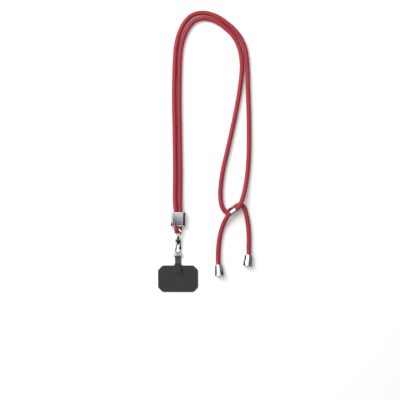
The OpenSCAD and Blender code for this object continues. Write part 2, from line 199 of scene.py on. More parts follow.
def evenly(curve, spacing):
    """The same curve with its points at equal distances along it, and those distances."""
    run = np.concatenate([[0], np.cumsum(np.linalg.norm(np.diff(curve[:, :3], axis=0), axis=1))])
    at = np.linspace(0, run[-1], round(run[-1] / spacing) + 1)
    return np.stack([np.interp(at, run, curve[:, k]) for k in range(curve.shape[1])], axis=1), at


def unit(v):
    """The direction of each row."""
    return v / np.linalg.norm(v, axis=-1, keepdims=True)


def grid_piece(name, points, u=None, v=None, wrap_rows=False, marks=None):
    """A closed surface from a grid of points, rows by columns. Four neighbours make a face, the last
    column joins the first, and the rows either join too or end in a flat face. The faces look outwards
    if the columns go round clockwise to an eye that looks along the rows. u and v are the piece's own
    map, across its columns with the last one repeated and down its rows. marks are named values, one
    for each point."""
    rows, cols = points.shape[:2]
    at = np.arange(rows * cols).reshape(rows, cols)
    near = at if wrap_rows else at[:-1]
    far = np.roll(at, -1, axis=0) if wrap_rows else at[1:]
    quads = np.stack([near, np.roll(near, -1, axis=1), np.roll(far, -1, axis=1), far], axis=-1)
    loops = quads.reshape(-1)
    sizes = np.full(quads.shape[0] * cols, 4)
    smooth = np.ones(len(sizes), bool)
    if not wrap_rows:
        loops = np.concatenate([loops, at[0][::-1], at[-1]])
        sizes = np.concatenate([sizes, [cols, cols]])
        smooth = np.concatenate([smooth, [False, False]])
    mesh = bpy.data.meshes.new(name)
    mesh.vertices.add(rows * cols)
    mesh.vertices.foreach_set("co", points.astype(np.float32).ravel())
    mesh.loops.add(len(loops))
    mesh.loops.foreach_set("vertex_index", loops.astype(np.int32))
    mesh.polygons.add(len(sizes))
    mesh.polygons.foreach_set("loop_start", (np.cumsum(sizes) - sizes).astype(np.int32))
    mesh.polygons.foreach_set("loop_total", sizes.astype(np.int32))
    mesh.polygons.foreach_set("use_smooth", smooth)
    if u is not None:
        corners = ((u[:-1], v[:-1]), (u[1:], v[:-1]), (u[1:], v[1:]), (u[:-1], v[1:]))
        pairs = [np.stack(np.broadcast_arrays(a[None], b[:, None]), axis=-1) for a, b in corners]
        lay = np.stack(pairs, axis=2)
        flat = np.zeros((len(loops), 2), np.float32)
        flat[:lay.size // 2] = lay.reshape(-1, 2)
        mesh.uv_layers.new(name="lay").data.foreach_set("uv", flat.ravel())
    for label, values in (marks or {}).items():
        mark = mesh.attributes.new(label, "FLOAT", "POINT")
        mark.data.foreach_set("value", values.astype(np.float32).ravel())
    mesh.update(calc_edges=True)
    piece = bpy.data.objects.new(name, mesh)
    scene.collection.objects.link(piece)
    return piece


def braid_height(p, q):
    """p and q count the strands of the two ways across the cord. Counting the two strand numbers
    together in fours, the first way is on top at 0 and 1 and the second at 2 and 3. A strand is round
    across, and it rises and dips over the two crossings that it passes on top."""
    i, j = np.floor(p), np.floor(q)
    turn = np.mod(i + j, 4)
    first = turn < 2
    across = np.where(first, p - i, q - j)
    along = np.where(first, (turn + q - j) / 2, (turn - 2 + p - i) / 2)
    return np.sin(np.pi * across) ** 0.6 * (0.4 + 0.6 * np.sin(np.pi * along) ** 0.7)


def sweep(path, side, around):
    """Two directions square to the path at each of its points, and the cosine and sine of each turn."""
    t = unit(np.gradient(path[:, :3], axis=0))
    a = unit(np.cross(t, side))
    turn = 2 * np.pi * np.arange(around) / around
    return a[:, None], np.cross(t, a)[:, None], np.cos(turn)[None, :, None], np.sin(turn)[None, :, None]


def braided_tube(name, points, side, around=48, spacing=0.5 * MM):
    """A tube along a route, and the route's points. Each ring's radius is the route's own, raised and
    lowered by the braid about its mean height."""
    path, run = smooth_route(points, spacing)
    a, b, cosine, sine = sweep(path, side, around)
    turn = np.arange(around + 1) / around * STRANDS
    x, y = turn[None, :around], run[:, None] / STRAND_W
    radius = (path[:, 3:4] + STRAND_RISE * (braid_height(x + y, x - y) - BRAID_MEAN))[..., None]
    skin = path[:, None, :3] + radius * (cosine * a + sine * b)
    return grid_piece(name, skin, turn, run / STRAND_W), path[:, :3]


# the block's top end, where the runs leave it, and its foot, where the fold does
BLOCK_L, BLOCK_T, BLOCK_FOOT = 19.2 * MM, 9.5 * MM, 72.1 * MM
BLOCK_TOP, BLOCK_Z = BLOCK_FOOT + BLOCK_L, BLOCK_T / 2

# the band's middle, and its directions along the cords and from one strand to the other
BORE_R, BAND_WALL, BAND_L = 3.05 * MM, 0.5 * MM, 7.7 * MM
BAND_HEAD, BAND_LEAN = math.radians(35), math.radians(35)
band_mid = np.array([74.3 * MM, 93.7 * MM, BORE_R + BAND_WALL + HALF_PITCH * math.cos(BAND_LEAN)])
band_u = np.array([math.cos(BAND_HEAD), math.sin(BAND_HEAD), 0])
band_v = np.array([math.sin(BAND_HEAD) * math.sin(BAND_LEAN),
                   -math.cos(BAND_HEAD) * math.sin(BAND_LEAN), math.cos(BAND_LEAN)])
BAND_HOLD = (7.5, 5, 0, -5, -7.5)

# each cap lies on its side: the middle of its mouth, and the way that its closed end points
CAP_L, CAP_MOUTH_R, CAP_END_R, CAP_BORE = 15 * MM, 4.5 * MM, 5.95 * MM, 11 * MM
cap_tilt = math.asin((CAP_END_R - CAP_MOUTH_R) / CAP_L)


def lying(turn):
    """The direction of a cap turned about the upright, tilted so that its side lies on the table."""
    turn = math.radians(turn)
    level = math.cos(cap_tilt)
    return np.array([math.cos(turn) * level, math.sin(turn) * level, math.sin(cap_tilt)])


left_mouth, left_u = np.array([55.3, 19.2, 4.5]) * MM, lying(-85)
right_mouth, right_u = np.array([96.4, 32.5, 4.5]) * MM, lying(-96)

# A run's points hold X, Y and its lift above lying on the table, in millimetres.
# The run on the outside of the neck loop, from the block to the band, and on to the left cap.
outer_run = [
    [-3.7, 101, 1.3], [-4.1, 110, 0.3], [-4, 124, 0], [-3.8, 142, 0], [-3.9, 162, 0],
    [-4.3, 185, 0], [-4.6, 208, 0], [-5.2, 238, 0], [-5.2, 260, 0], [-4.8, 282, 0], [-4, 302, 0],
    [-2.2, 320, 0], [2.2, 337, 0], [9.5, 351, 0], [19, 360.2, 0], [31, 363.6, 0], [43, 362.4, 0],
    [54.5, 358, 0], [65, 351, 0], [75, 342.6, 0], [83.5, 332.5, 0], [90, 320, 0], [93.4, 305, 0],
    [94.9, 286, 0], [95.6, 262, 0], [96.6, 232, 0], [97.1, 200, 0], [96.7, 170, 0],
    [95.2, 146, 0], [92.6, 128, 0.8], [89.2, 113, 3.4], [85.2, 102.2, 6]]
outer_tail = [
    [67, 84.4, 4.4], [62.6, 76, 1.4], [59.3, 66.5, 0], [56.6, 54, 0], [55.2, 40, 0], [54.9, 29, 0.4]]
# The run on the inside of the neck loop, from the block to the band, and on to the right cap.
inner_run = [
    [2.6, 101, 1.3], [2.7, 110, 0.3], [2.8, 124, 0], [3, 142, 0], [2.9, 162, 0], [2.5, 185, 0],
    [2.2, 208, 0], [1.7, 238, 0], [1.7, 260, 0], [2, 282, 0], [2.8, 302, 0], [4.5, 318, 0],
    [8.6, 332, 0], [15, 344.5, 0], [23.5, 353, 0], [34, 356, 0], [44.5, 354.6, 0], [55, 350, 0],
    [65, 342.8, 0], [73.5, 334.6, 0], [80, 325, 0], [84.6, 313, 0], [87.1, 298, 0], [87, 281, 0],
    [84.8, 262, 0], [80, 233, 0], [73.6, 202, 0], [66.6, 171, 0], [61.2, 147, 0], [58.6, 128, 0],
    [58.1, 111, 0], [60, 100, 0], [63.8, 93, 0.2]]
inner_tail = [
    [84.8, 101.4, 0], [90, 98.4, 0], [93, 89, 0], [95.4, 77, 0], [96.7, 63, 0], [97, 50, 0],
    [96.7, 42, 0.4]]
# The fold's points hold X, Y, rise above the hook's axis and share of the cord's radius, because it
# is drawn thin where it turns through the eye. Its holds are heights above the block's foot.
AXIS_Z = 5.4 * MM
fold_run = [
    [-3, 70.8, 0.4, 0.86], [-3, 69.2, 1.6, 0.8], [-2.8, 67.6, 2.2, 0.765], [-2.5, 65.8, 2.1, 0.765],
    [-1.5, 64.6, 1.2, 0.765], [0, 64.2, 0, 0.765], [1.5, 64.6, -1.2, 0.765], [2.5, 65.8, -2, 0.765],
    [2.8, 67.6, -2.2, 0.785], [3.1, 70.6, -1.5, 0.9]]
FOLD_HOLD = ((19.2, 1), (9.9, 1), (3.9, 1), (1.1, 0.965))


def lifted(points):
    """A run's points in metres, with the cord's radius. Where nothing grips it, the braid is fuller."""
    points = np.array(points) * MM
    return np.column_stack([points[:, :2], points[:, 2] + FULL_R, np.full(len(points), FULL_R)])


def cord_run(side, run, tail, mouth, along):
    """A run's route: out of the block's top, round the neck, through the band and into its cap."""
    block = [[side * HALF_PITCH, y, BLOCK_Z, CORD_R] for y in (BLOCK_TOP, BLOCK_TOP + 2.7 * MM)]
    held = [[*(band_mid - side * (HALF_PITCH * band_v + h * MM * band_u)), CORD_R] for h in BAND_HOLD]
    cap = [[*(mouth + h * along), CORD_R] for h in (-4 * MM, 0, CAP_BORE)]
    return np.vstack([block, lifted(run), held, lifted(tail), cap])


free = np.array(fold_run)
free = np.column_stack([free[:, :2] * MM, AXIS_Z + free[:, 2] * MM, free[:, 3] * CORD_R])
down = [[-HALF_PITCH, BLOCK_FOOT + h * MM, BLOCK_Z, share * CORD_R] for h, share in FOLD_HOLD]
back = [[HALF_PITCH, *point[1:]] for point in down[::-1]]

UP = (0, 0, 1)
EYE_TILT = math.radians(30)
cord_outer, outer_path = braided_tube(
    "cord_run_outer", cord_run(-1, outer_run, outer_tail, left_mouth, left_u), UP)
cord_inner, inner_path = braided_tube(
    "cord_run_inner", cord_run(1, inner_run, inner_tail, right_mouth, right_u), UP)
cord_fold, _ = braided_tube(
    "cord_fold_braid", np.vstack([down, free, back]), (math.cos(EYE_TILT), 0, math.sin(EYE_TILT)))


def group(name, inputs, outputs):
    """A shader node group: its tree, its inputs, and its output node."""
    made = bpy.data.node_groups.new(name, "ShaderNodeTree")
    for label, kind in inputs.items():
        made.interface.new_socket(name=label, in_out="INPUT", socket_type="NodeSocket" + kind)
    for label in outputs:
        made.interface.new_socket(name=label, in_out="OUTPUT", socket_type="NodeSocketFloat")
    return made, made.nodes.new("NodeGroupInput").outputs, made.nodes.new("NodeGroupOutput").inputs


def use(tree, made, **values):
    """Places a group in a material and sets or links its inputs."""
    return node(tree, "ShaderNodeGroup", node_tree=made, **values).outputs


def ramp(tree, factor, *stops):
    """A colour ramp from pairs of a place and a colour."""
    made = node(tree, "ShaderNodeValToRGB", Fac=factor)
    for k, (place, colour) in enumerate(stops):
        stop = made.color_ramp.elements[k] if k < 2 else made.color_ramp.elements.new(place)
        stop.position = place
        stop.color = (*colour, 1)
    return made.outputs["Color"]


# the braid as a pattern: two over and two under again, with the fine filaments along each strand
braid, given, result = group("braid", {"Place": "Vector"}, ("Height", "Filament"))
place = node(braid, "ShaderNodeSeparateXYZ", Vector=given["Place"]).outputs
p = calc(braid, "ADD", place["X"], place["Y"])
q = calc(braid, "SUBTRACT", place["X"], place["Y"])
strand_sum = calc(braid, "ADD", calc(braid, "FLOOR", p), calc(braid, "FLOOR", q))
turn = calc(braid, "FLOORED_MODULO", strand_sum, 4)
second = calc(braid, "GREATER_THAN", turn, 1.5)
first = calc(braid, "SUBTRACT", 1, second)
p_part, q_part = calc(braid, "FRACT", p), calc(braid, "FRACT", q)
across = calc(braid, "MULTIPLY_ADD", first, p_part, calc(braid, "MULTIPLY", second, q_part))
other = calc(braid, "MULTIPLY_ADD", first, q_part, calc(braid, "MULTIPLY", second, p_part))
along = calc(braid, "MULTIPLY", calc(braid, "ADD", other, calc(braid, "FLOORED_MODULO", turn, 2)), 0.5)
bulge = calc(braid, "POWER", calc(braid, "SINE", calc(braid, "MULTIPLY", across, math.pi)), 0.6)
arch = calc(braid, "POWER", calc(braid, "SINE", calc(braid, "MULTIPLY", along, math.pi)), 0.7)
height = calc(braid, "MULTIPLY", bulge, calc(braid, "MULTIPLY_ADD", arch, 0.6, 0.4))
ripple = calc(braid, "SINE", calc(braid, "MULTIPLY", across, 10 * math.pi))
braid.links.new(height, result["Height"])
braid.links.new(calc(braid, "MULTIPLY_ADD", ripple, 0.5, 0.5), result["Filament"])

red_braid, tree, out = new_material("red_braid")
strands = use(tree, braid, Place=node(tree, "ShaderNodeUVMap", uv_map="lay").outputs["UV"])
where = node(tree, "ShaderNodeTexCoord").outputs["Object"]
fade = node(tree, "ShaderNodeTexNoise", Vector=where, Scale=70, Detail=3).outputs["Fac"]
fuzz = node(tree, "ShaderNodeTexNoise", Vector=where, Scale=2600, Detail=2).outputs["Fac"]
uneven = calc(tree, "MULTIPLY_ADD", fade, 0.24, -0.12)
shade = calc(tree, "MULTIPLY_ADD", strands["Filament"], 0.14, uneven)
# the colour darkens with the braid's height, so the grooves between the strands get painted shade; the
# patches and fibres are the dye's own
tone_and_hollow_shade = calc(tree, "MULTIPLY_ADD", strands["Height"], 0.8, shade)
dye_and_hollow_shade = ramp(tree, tone_and_hollow_shade, (0.0, (0.07, 0.001, 0.004)), (0.45, (0.28, 0.007, 0.018)),
           (1.0, (0.5, 0.018, 0.042)))
fibre = calc(tree, "MULTIPLY_ADD", strands["Filament"], 0.14, calc(tree, "MULTIPLY", fuzz, 0.12))
bump = node(tree, "ShaderNodeBump", Height=calc(tree, "ADD", strands["Height"], fibre),
            Strength=0.8, Distance=0.09 * MM)
cloth = node(tree, "ShaderNodeBsdfPrincipled", Base_Color=dye_and_hollow_shade, Roughness=0.6, Normal=bump.outputs[0],
             Sheen_Weight=0.04, Sheen_Roughness=0.4, Sheen_Tint=(1, 0.6, 0.64, 1))
tree.links.new(cloth.outputs[0], out.inputs["Surface"])


def finish(piece, material, body, slot, *solids):
    """Gives a piece its material and its body, and hides the solids that it stands for. Its slot is not
    used.
    """
    piece.data.materials.clear()
    piece.data.materials.append(material)
    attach(piece, body)
    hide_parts(*solids)


finish(cord_outer, red_braid, "cord", "cord", "cord_outer")
finish(cord_inner, red_braid, "cord", "cord", "cord_inner")
finish(cord_fold, red_braid, "cord", "cord", "cord_fold")

# --- The clamp block ---------------------------------------------------------------------
# A zinc block over both strands of the fold, pressed shut and held by two grub screws in its back.
# Its front is brushed across the cords, and its bevels and ends are polished bright.


def merged_copy(name, solid):
    """A working copy of a solid's mesh, with its loose triangles joined and its flats made whole."""
    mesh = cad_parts[solid].data.copy()
    mesh.name = name
    work = bmesh.new()
    work.from_mesh(mesh)
    bmesh.ops.remove_doubles(work, verts=work.verts, dist=0.0005 * MM)
    bmesh.ops.dissolve_limit(work, angle_limit=math.radians(0.4), verts=work.verts, edges=work.edges)
    work.to_mesh(mesh)
    work.free()
    mesh.shade_smooth()
    piece = bpy.data.objects.new(name, mesh)
    scene.collection.objects.link(piece)
    return piece


def soften(piece, width, segments=3, angle=20):
    """Rounds a piece's sharp edges and leaves its flats flat."""
    bevel = piece.modifiers.new("soft_edges", "BEVEL")
    bevel.width = width
    bevel.segments = segments
    bevel.limit_method = "ANGLE"
    bevel.angle_limit = math.radians(angle)
    bevel.harden_normals = True


block = merged_copy("block_shell", "clamp_block")
soften(block, 0.16 * MM)

# what handling leaves on plate: hair scratches as a height, and a film of finger marks
handling, given, result = group("handling", {"Place": "Vector"}, ("Scratch", "Smudge"))
bent = node(handling, "ShaderNodeTexNoise", Vector=given["Place"], Scale=90, Detail=1).outputs["Color"]
shifted = node(handling, "ShaderNodeVectorMath", operation="MULTIPLY_ADD")
handling.links.new(bent, shifted.inputs[0])
shifted.inputs[1].default_value = (0.02, 0.02, 0.02)
handling.links.new(given["Place"], shifted.inputs[2])
hair = []
for turn in (25, -50):
    lay = node(handling, "ShaderNodeMapping", Vector=shifted.outputs[0],
               Rotation=(0.3, 0.4, math.radians(turn)), Scale=(60, 2600, 60))
    lines = node(handling, "ShaderNodeTexNoise", Vector=lay.outputs[0], Scale=1, Detail=1)
    sharp = calc(handling, "SUBTRACT", lines.outputs["Fac"], 0.66)
    hair.append(calc(handling, "SMOOTH_MAX", sharp, 0, 0.02))
handling.links.new(calc(handling, "MULTIPLY", calc(handling, "ADD", *hair), -4), result["Scratch"])
film = node(handling, "ShaderNodeTexNoise", Vector=given["Place"], Scale=260, Detail=4, Roughness=0.6)
touched = node(handling, "ShaderNodeMapRange", Value=film.outputs["Fac"], From_Min=0.42, From_Max=0.7)
handling.links.new(touched.outputs[0], result["Smudge"])

# what an abrasive belt leaves: long lines across the cords, and finer ones between them
brushing, given, result = group("brushing", {"Place": "Vector"}, ("Lines", "Fine"))
for label, scale in (("Lines", (30, 2400, 30)), ("Fine", (90, 9000, 90))):
    lay = node(brushing, "ShaderNodeMapping", Vector=given["Place"], Scale=scale)
    lines = node(brushing, "ShaderNodeTexNoise", Vector=lay.outputs[0], Scale=1, Detail=3,
                 Roughness=0.7)
    brushing.links.new(lines.outputs["Fac"], result[label])


def weigh(tree, mask, off, on):
    """A number that goes from off to on with a mask."""
    return node(tree, "ShaderNodeMapRange", Value=mask, To_Min=off, To_Max=on).outputs[0]


brushed_steel, tree, out = new_material("brushed_steel")
where = node(tree, "ShaderNodeTexCoord").outputs["Object"]
lines = use(tree, brushing, Place=where)
wear = use(tree, handling, Place=where)
# only the faces that look straight up or down are brushed
face_way = node(tree, "ShaderNodeNewGeometry").outputs["True Normal"]
facing = node(tree, "ShaderNodeSeparateXYZ", Vector=face_way).outputs["Z"]
front = calc(tree, "GREATER_THAN", calc(tree, "ABSOLUTE", facing), 0.97)
grain = calc(tree, "MULTIPLY_ADD", lines["Lines"], 0.6, calc(tree, "MULTIPLY", lines["Fine"], 0.4))
brushed = ramp(tree, grain, (0.3, (0.3, 0.3, 0.31)), (0.7, (0.62, 0.62, 0.63)))
metal_mix = node(tree, "ShaderNodeMix", data_type="RGBA")
colour_in = {socket.identifier: socket for socket in metal_mix.inputs}
colour_out = {socket.identifier: socket for socket in metal_mix.outputs}
colour_in["A_Color"].default_value = (0.72, 0.72, 0.74, 1)
tree.links.new(brushed, colour_in["B_Color"])
tree.links.new(front, colour_in["Factor_Float"])
polished = weigh(tree, wear["Smudge"], 0.07, 0.14)
rough = calc(tree, "MULTIPLY_ADD", front, weigh(tree, grain, 0.14, 0.3), polished)
score = calc(tree, "MULTIPLY_ADD", wear["Scratch"], 0.5, calc(tree, "MULTIPLY", grain, front))
bump = node(tree, "ShaderNodeBump", Height=score, Strength=0.5, Distance=0.03 * MM)
# the front is also crowned along the cords: it falls away as the square of the way from its middle
CROWN = 0.18 * MM
along_block = node(tree, "ShaderNodeSeparateXYZ", Vector=where).outputs["Y"]
from_middle = calc(tree, "MULTIPLY_ADD", along_block, 2 / BLOCK_L, -2 * BLOCK_FOOT / BLOCK_L - 1)
fall = calc(tree, "MULTIPLY", from_middle, from_middle)
crown = calc(tree, "MULTIPLY", fall, calc(tree, "MULTIPLY", front, -1))
bump = node(tree, "ShaderNodeBump", Height=crown, Strength=1.0, Distance=CROWN, Normal=bump.outputs[0])
metal = node(tree, "ShaderNodeBsdfPrincipled", Base_Color=colour_out["Result_Color"], Metallic=1.0,
             Roughness=rough, Normal=bump.outputs[0])
tree.links.new(metal.outputs[0], out.inputs["Surface"])
finish(block, brushed_steel, "cord", "steel", "clamp_block")

plain_steel, tree, out = new_material("plain_steel")
where = node(tree, "ShaderNodeTexCoord").outputs["Object"]
wear = use(tree, handling, Place=where)
mottle = node(tree, "ShaderNodeTexNoise", Vector=where, Scale=900, Detail=3).outputs["Fac"]
relief = calc(tree, "MULTIPLY_ADD", mottle, 0.4, wear["Scratch"])
bump = node(tree, "ShaderNodeBump", Height=relief, Strength=0.5, Distance=0.02 * MM)
metal = node(tree, "ShaderNodeBsdfPrincipled", Metallic=1.0,
             Base_Color=ramp(tree, mottle, (0.3, (0.4, 0.4, 0.41)), (0.7, (0.58, 0.58, 0.6))),
             Roughness=weigh(tree, wear["Smudge"], 0.18, 0.34), Normal=bump.outputs[0])
tree.links.new(metal.outputs[0], out.inputs["Surface"])
screws = merged_copy("grub_screws", "clamp_screws")
soften(screws, 0.08 * MM)
finish(screws, plain_steel, "cord", "steel", "clamp_screws")

# --- The sliding band --------------------------------------------------------------------
# A band of steel strip bent round both strands and pressed flat between them, plated bright. Its
# lips are rolled so that it slides along the cords to size the neck loop.


def chrome_material(name, clear, marked):
    """Bright plate: its roughness goes from clear to marked under finger marks, with hair scratches."""
    made, tree, out = new_material(name)
    where = node(tree, "ShaderNodeTexCoord").outputs["Object"]
    wear = use(tree, handling, Place=where)
    haze = node(tree, "ShaderNodeTexNoise", Vector=where, Scale=150, Detail=2).outputs["Fac"]
    orange_peel = node(tree, "ShaderNodeTexNoise", Vector=where, Scale=700).outputs["Fac"]
    relief = calc(tree, "MULTIPLY_ADD", orange_peel, 0.5, wear["Scratch"])
    bump = node(tree, "ShaderNodeBump", Height=relief, Strength=0.35, Distance=0.02 * MM)
    metal = node(tree, "ShaderNodeBsdfPrincipled", Metallic=1.0,
                 Base_Color=ramp(tree, haze, (0.3, (0.7, 0.7, 0.72)), (0.7, (0.8, 0.8, 0.82))),
                 Roughness=weigh(tree, wear["Smudge"], clear, marked), Normal=bump.outputs[0])
    tree.links.new(metal.outputs[0], out.inputs["Surface"])
    return made


bright_plate = chrome_material("bright_plate", 0.05, 0.13)


def stadium(radius, ends=28, flats=9):
    """Two half circles a pitch apart, joined by straight lines: points and outward directions."""
    turn = np.linspace(-math.pi / 2, math.pi / 2, ends)
    way = np.column_stack([np.cos(turn), np.sin(turn)])
    top_x = np.linspace(HALF_PITCH, -HALF_PITCH, flats)[1:-1]
    top = np.column_stack([top_x, np.full(flats - 2, radius)])
    half = np.vstack([radius * way + [HALF_PITCH, 0], top])
    outward = np.vstack([way, np.tile([0.0, 1.0], (flats - 2, 1))])
    return np.vstack([half, -half]), np.vstack([outward, -outward])


def lip_section(inside, outside, half_length, roll, steps=6):
    """Half the section of a short sleeve, from the middle of its bore round one rolled lip to the
    middle of its outside: distances out and along. The lip is a quarter round on each corner."""
    turn = np.linspace(0, math.pi / 2, steps)
    less, more = roll * np.cos(turn), roll * np.sin(turn)
    inner = np.column_stack([inside + roll - less, half_length - roll + more])
    outer = np.column_stack([outside - roll + more, half_length - roll + less])
    along = np.linspace(0, half_length - 1.2 * roll, 8)
    bore = np.column_stack([np.full(8, inside), along])
    face = np.column_stack([np.full(8, outside), along[::-1]])
    return np.vstack([bore, inner, outer, face])


LIP_ROLL = 0.22 * MM
half = lip_section(0, BAND_WALL, BAND_L / 2, LIP_ROLL)
section = np.vstack([half, (half * [1, -1])[::-1][1:-1]])
rim, outward = stadium(BORE_R)
flat = rim[None] + section[:, :1, None] * outward[None]
across = np.cross(band_v, band_u)
skin = band_mid + flat[..., :1] * band_v + flat[..., 1:] * across + section[:, 1:, None] * band_u
band = grid_piece("band_sleeve", skin, wrap_rows=True)
finish(band, bright_plate, "band", "chrome", "sliding_band")

# --- The end caps ------------------------------------------------------------------------
# Two cone caps of plated brass, one glued over the end of each run. The mouth has a turned lip
# and the closed end a low dome, and the glue line is a dark ring inside the mouth.


def turned(name, profile, start, along, around=72):
    """A profile of distances out and along, carried once round the axis through start."""
    a = unit(np.cross(along, UP))
    b = np.cross(along, a)
    turn = 2 * np.pi * np.arange(around)[None, :, None] / around
    out = profile[:, :1, None]
    skin = start + profile[:, 1:, None] * along + out * (np.cos(turn) * a + np.sin(turn) * b)
    return grid_piece(name, skin)


def rounded_line(corners, radius, steps=5, hold=0.04 * MM):
    """A line through the corners, each turned by a short curve whose ends lie radius away from it,
    with a point just outside each curve so that the flats stay flat."""
    corners = np.array(corners, float)
    near, mid, far = corners[:-2], corners[1:-1], corners[2:]
    t = np.concatenate([[-hold / radius], np.linspace(0, 1, steps), [1 + hold / radius]])[None, :, None]
    inside = np.clip(t, 0, 1)
    before, after = unit(near - mid)[:, None], unit(far - mid)[:, None]
    curve = mid[:, None] + radius * ((1 - inside) ** 2 * before + inside**2 * after)
    curve = curve + radius * (np.maximum(-t, 0) * before + np.maximum(t - 1, 0) * after)
    return np.vstack([corners[:1], curve.reshape(-1, 2), corners[-1:]])


cap_profile = rounded_line([
    [0.02 * MM, CAP_BORE], [BORE_R, CAP_BORE], [BORE_R, 0.5 * MM], [BORE_R + 0.35 * MM, 0],
    [CAP_MOUTH_R, 0], [CAP_MOUTH_R + 0.12 * MM, 1.1 * MM], [CAP_MOUTH_R - 0.05 * MM, 1.35 * MM],
    [CAP_MOUTH_R + 0.14 * MM, 1.6 * MM], [CAP_END_R, CAP_L - 0.7 * MM], [CAP_END_R - 1.1 * MM, CAP_L],
    [0.02 * MM, CAP_L + 0.4 * MM]], 0.12 * MM)
caps = {}
for side, mouth, along in (("left", left_mouth, left_u), ("right", right_mouth, right_u)):
    caps[side] = turned("cap_cone_" + side, cap_profile, mouth, along)
    finish(caps[side], bright_plate, "cord", "chrome", "end_cap_" + side)

# --- The swivel eye ----------------------------------------------------------------------
# A cast ring with a collar and a stem that is peened over inside the hook's hub, on a washer. The
# cord's fold passes through the ring, and the hook spins on the stem.


def cast_copy(name, solid, cell, passes):
    """A copy of a solid's mesh, cut again into even cells and smoothed to a casting's soft edges."""
    piece = merged_copy(name, solid)
    remesh = piece.modifiers.new("even_cells", "REMESH")
    remesh.mode = "VOXEL"
    remesh.voxel_size = cell
    remesh.use_smooth_shade = True
    smooth = piece.modifiers.new("soft_edges", "SMOOTH")
    smooth.factor = 0.5
    smooth.iterations = passes
    return piece


eye = cast_copy("eye_casting", "swivel_eye", 0.09 * MM, 4)
finish(eye, bright_plate, "eye", "chrome", "swivel_eye")
washer = merged_copy("eye_washer", "swivel_washer")
soften(washer, 0.06 * MM)
finish(washer, plain_steel, "eye", "steel", "swivel_washer")

# --- The hook ----------------------------------------------------------------------------
# A die-cast swivel hook, plated: hub, two cheeks that hold the lever, a spine and an open bow. The
# casting can't be worked out as one grid, so it is a copy of the solid with soft edges.
hook = cast_copy("hook_casting", "hook_body", 0.1 * MM, 5)
finish(hook, bright_plate, "hook", "chrome", "hook_body")

# The lever's pin is a plain rivet through both cheeks, its ends domed by the press.
HOOK_TURN = math.radians(45)
AXIS_X = np.array([math.cos(HOOK_TURN), 0, -math.sin(HOOK_TURN)])
AXIS_ACROSS = np.array([math.sin(HOOK_TURN), 0, math.cos(HOOK_TURN)])
AXIS_Y = np.array([0, 1, 0])
hub_top = np.array([0, 57.2 * MM, AXIS_Z])
PIN_ASIDE, PIN_DROP = 1.3 * MM, 6.6 * MM
pin_middle = hub_top + PIN_ASIDE * AXIS_X - PIN_DROP * AXIS_Y
PIN_R, PIN_HALF, PIN_DOME = 0.6 * MM, 2.35 * MM, 0.12 * MM
dome = np.linspace(0, math.pi / 2, 7)
rivet = np.column_stack([PIN_R * np.sin(dome) + 0.01 * MM, -PIN_HALF + PIN_DOME * (1 - np.cos(dome))])
rivet = np.vstack([rivet, (rivet * [1, -1])[::-1]])
pin = turned("lever_rivet", rivet, pin_middle, AXIS_ACROSS, 40)
finish(pin, plain_steel, "hook", "steel", "lever_pin")

# --- The lever and its spring ------------------------------------------------------------
# The lever is blanked from steel and plated. Its gate shuts the bow, its tab is for the thumb, and
# a spring of two turns round the pin, in a pocket of the lever, holds it shut.
lever = cast_copy("lever_blank", "lever", 0.08 * MM, 3)
finish(lever, bright_plate, "lever", "steel", "lever")

LEVER_T, POCKET, SPRING_R, WIRE_R = 2 * MM, 1.15 * MM, 1.15 * MM, 0.15 * MM
SPRING_TURNS, SPRING_PITCH = 2.25, 0.288 * MM


def wire(name, path, radius, side, around=20, closed=False):
    """A round wire along a path of even points. A closed one joins its last ring to its first."""
    a, b, cosine, sine = sweep(np.vstack([path[-1:], path, path[:1]]) if closed else path, side, around)
    if closed:
        a, b = a[1:-1], b[1:-1]
    return grid_piece(name, path[:, None] + radius * (cosine * a + sine * b), wrap_rows=closed)


turns = np.linspace(0, SPRING_TURNS, 110)[:, None]
angle = 2 * math.pi * turns
rise = LEVER_T / 2 - POCKET + 2 * WIRE_R + SPRING_PITCH * turns
coil = pin_middle + SPRING_R * (np.cos(angle) * AXIS_X + np.sin(angle) * AXIS_Y) + rise * AXIS_ACROSS
spring = wire("lever_coil", coil, WIRE_R, AXIS_ACROSS, 14)
finish(spring, plain_steel, "hook", "steel", "lever_spring")

# --- The D-ring --------------------------------------------------------------------------
# A ring of plated wire, welded shut at the middle of its straight bar, inside the webbing. It hangs
# in the hook's bow and leans down to the patch.
RING_WIRE, RING_CORNER, RING_FLAT = 1.4 * MM, 1 * MM, 4.9 * MM
BAR_Z = 2.1 * MM
BOW_DROP, RING_PLAY = 22.1 * MM, 0.76 * MM
RING_H = RING_FLAT + 2 * RING_CORNER
ring_tilt = math.asin((AXIS_Z - BAR_Z) / RING_H)
bow_inside = hub_top[1] - BOW_DROP
BAR_Y = bow_inside + RING_PLAY + RING_WIRE / 2 - RING_H * math.cos(ring_tilt)
quarter = np.linspace(-math.pi / 2, 0, 12)
arch = np.linspace(0, math.pi / 2, 40)
ring_half = RING_FLAT + RING_CORNER
side_line = np.vstack([
    np.column_stack([np.linspace(0, RING_FLAT, 20), np.zeros(20)]),
    np.column_stack([RING_FLAT + RING_CORNER * np.cos(quarter), RING_CORNER * (1 + np.sin(quarter))]),
    np.column_stack([ring_half * np.cos(arch), RING_CORNER + ring_half * np.sin(arch)])])
outline = np.vstack([side_line, (side_line * [-1, 1])[::-1]])
up_ring = np.array([0, math.cos(ring_tilt), math.sin(ring_tilt)])
loop = np.array([0, BAR_Y, BAR_Z]) + outline[:, :1] * [1, 0, 0] + outline[:, 1:] * up_ring
loop, _ = evenly(loop, 0.2 * MM)
normal = np.cross([1, 0, 0], up_ring)
d_ring = wire("ring_wire", loop[:-1], RING_WIRE / 2, normal, 28, closed=True)
finish(d_ring, bright_plate, "ring", "chrome", "d_ring")

